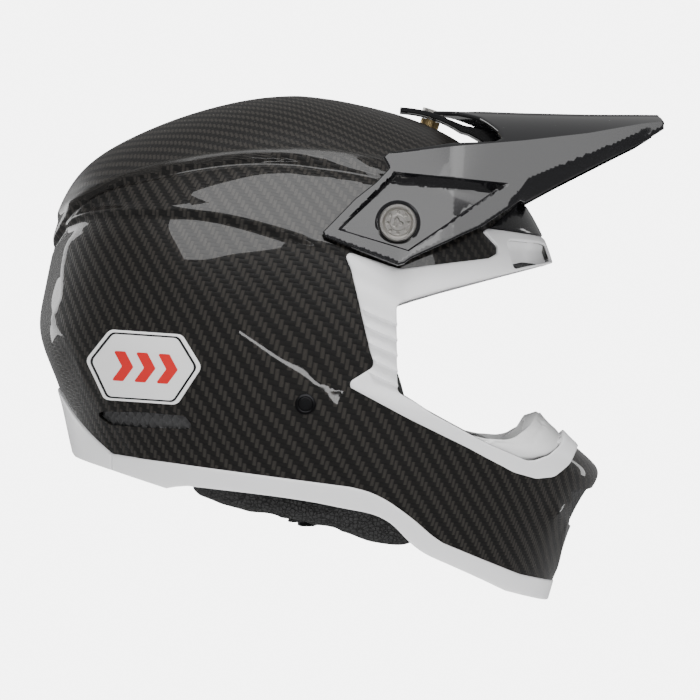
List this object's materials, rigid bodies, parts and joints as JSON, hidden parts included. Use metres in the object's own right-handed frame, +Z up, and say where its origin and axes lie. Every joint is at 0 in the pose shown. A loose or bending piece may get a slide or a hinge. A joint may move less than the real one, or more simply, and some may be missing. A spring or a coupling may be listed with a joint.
{
  "type": "motocross helmet",
  "caption": "Full-face off-road helmet: carbon shell with chin bar, open eye port with ribbed trim, tilting peak, removable cheek pads and chin strap.",
  "frame": {"origin": "centre of the ball on which the inner liner turns, at the middle of the wearer's head", "axes": "+X forward out of the eye port, +Y to the wearer's left, +Z up through the crown"},
  "size_m": [0.384, 0.2534, 0.3086],
  "materials": {
    "carbon_gloss": "clear-coated twill carbon fibre",
    "white_satin": "satin white moulded plastic",
    "white_gloss": "gloss white plastic",
    "black_gloss": "gloss black plastic",
    "black_matte": "matt black plastic",
    "foam_black": "black expanded foam",
    "foam_grey": "dark grey expanded foam",
    "lining_black": "black knitted lining",
    "grain_black": "black grained synthetic leather",
    "rubber_black": "black rubber",
    "badge_white": "gloss white badge with a dark outline and red bars",
    "black_metal": "black coated metal",
    "steel": "zinc-plated steel",
    "silver": "cast and satin-finished aluminium",
    "webbing_black": "black woven webbing",
    "brass": "turned brass"
  },
  "bodies": {
    "helmet": {"outer_shell": "carbon_gloss", "eyeport_trim": "white_satin", "brow_cover": "black_gloss", "brow_vent_inserts": "black_matte", "rear_edge_trim": "white_satin", "lower_edge_trim": "white_satin", "chin_bar_foam": "foam_black", "chin_bar_lining": "lining_black", "mouthpiece": "white_gloss", "mouth_vent_grille": "black_matte", "exhaust_grilles": "black_matte", "side_badges": "badge_white", "impact_liner": "foam_black", "neck_roll": "grain_black", "pad_snap_sockets": "black_matte", "strap_rivets": "black_metal", "peak_inserts": "brass", "centre_insert": "brass"},
    "peak": {"peak": "black_gloss", "screw_washers": "rubber_black"},
    "side_screw_right": {"side_screw_right": "silver"},
    "side_screw_left": {"side_screw_left": "silver"},
    "centre_screw": {"centre_screw": "silver"},
    "liner": {"inner_liner": "foam_grey", "comfort_liner": "lining_black", "liner_anchors": "rubber_black"},
    "cheek_pad_right": {"cheek_pad_right": "grain_black", "cheek_plate_right": "black_matte", "cheek_studs_right": "black_matte"},
    "cheek_pad_left": {"cheek_pad_left": "grain_black", "cheek_plate_left": "black_matte", "cheek_studs_left": "black_matte"},
    "chin_strap": {"strap_hangers": "steel", "short_strap": "webbing_black", "long_strap": "webbing_black", "strap_snap": "black_metal"},
    "d_rings": {"d_rings": "steel"}
  },
  "joints": [
    {"name": "peak_tilt", "type": "hinge", "parent": "helmet", "child": "peak", "pos_m": [0.067, 0, 0.0545], "axis": [0, 1, 0], "range_deg": [-4, 4]},
    {"name": "side_screw_right_turn", "type": "hinge", "parent": "helmet", "child": "side_screw_right", "pos_m": [0.067, -0.111, 0.0545], "axis": [0, -1, 0], "continuous": true},
    {"name": "side_screw_left_turn", "type": "hinge", "parent": "helmet", "child": "side_screw_left", "pos_m": [0.067, 0.111, 0.0545], "axis": [0, 1, 0], "continuous": true},
    {"name": "centre_screw_turn", "type": "hinge", "parent": "helmet", "child": "centre_screw", "pos_m": [0.08999, 0, 0.12526], "axis": [0.309, 0, 0.9511], "continuous": true},
    {"name": "liner_slip", "type": "hinge", "parent": "helmet", "child": "liner", "pos_m": [0, 0, 0], "axis": [0, 0, 1], "range_deg": [-6, 6], "stiffness_Nm_per_rad": 0.5},
    {"name": "cheek_pad_right_release", "type": "slide", "parent": "helmet", "child": "cheek_pad_right", "axis": [0, 1, 0], "range_m": [0, 0.008]},
    {"name": "cheek_pad_left_release", "type": "slide", "parent": "helmet", "child": "cheek_pad_left", "axis": [0, -1, 0], "range_m": [0, 0.008]},
    {"name": "chin_strap_swing", "type": "hinge", "parent": "helmet", "child": "chin_strap", "pos_m": [0.012, 0, -0.0535], "axis": [0, 1, 0], "range_deg": [-8, 8]},
    {"name": "d_ring_flip", "type": "hinge", "parent": "chin_strap", "child": "d_rings", "pos_m": [0.012, 0.034, -0.1205], "axis": [1, 0, 0], "range_deg": [-2, 2]}
  ]
}
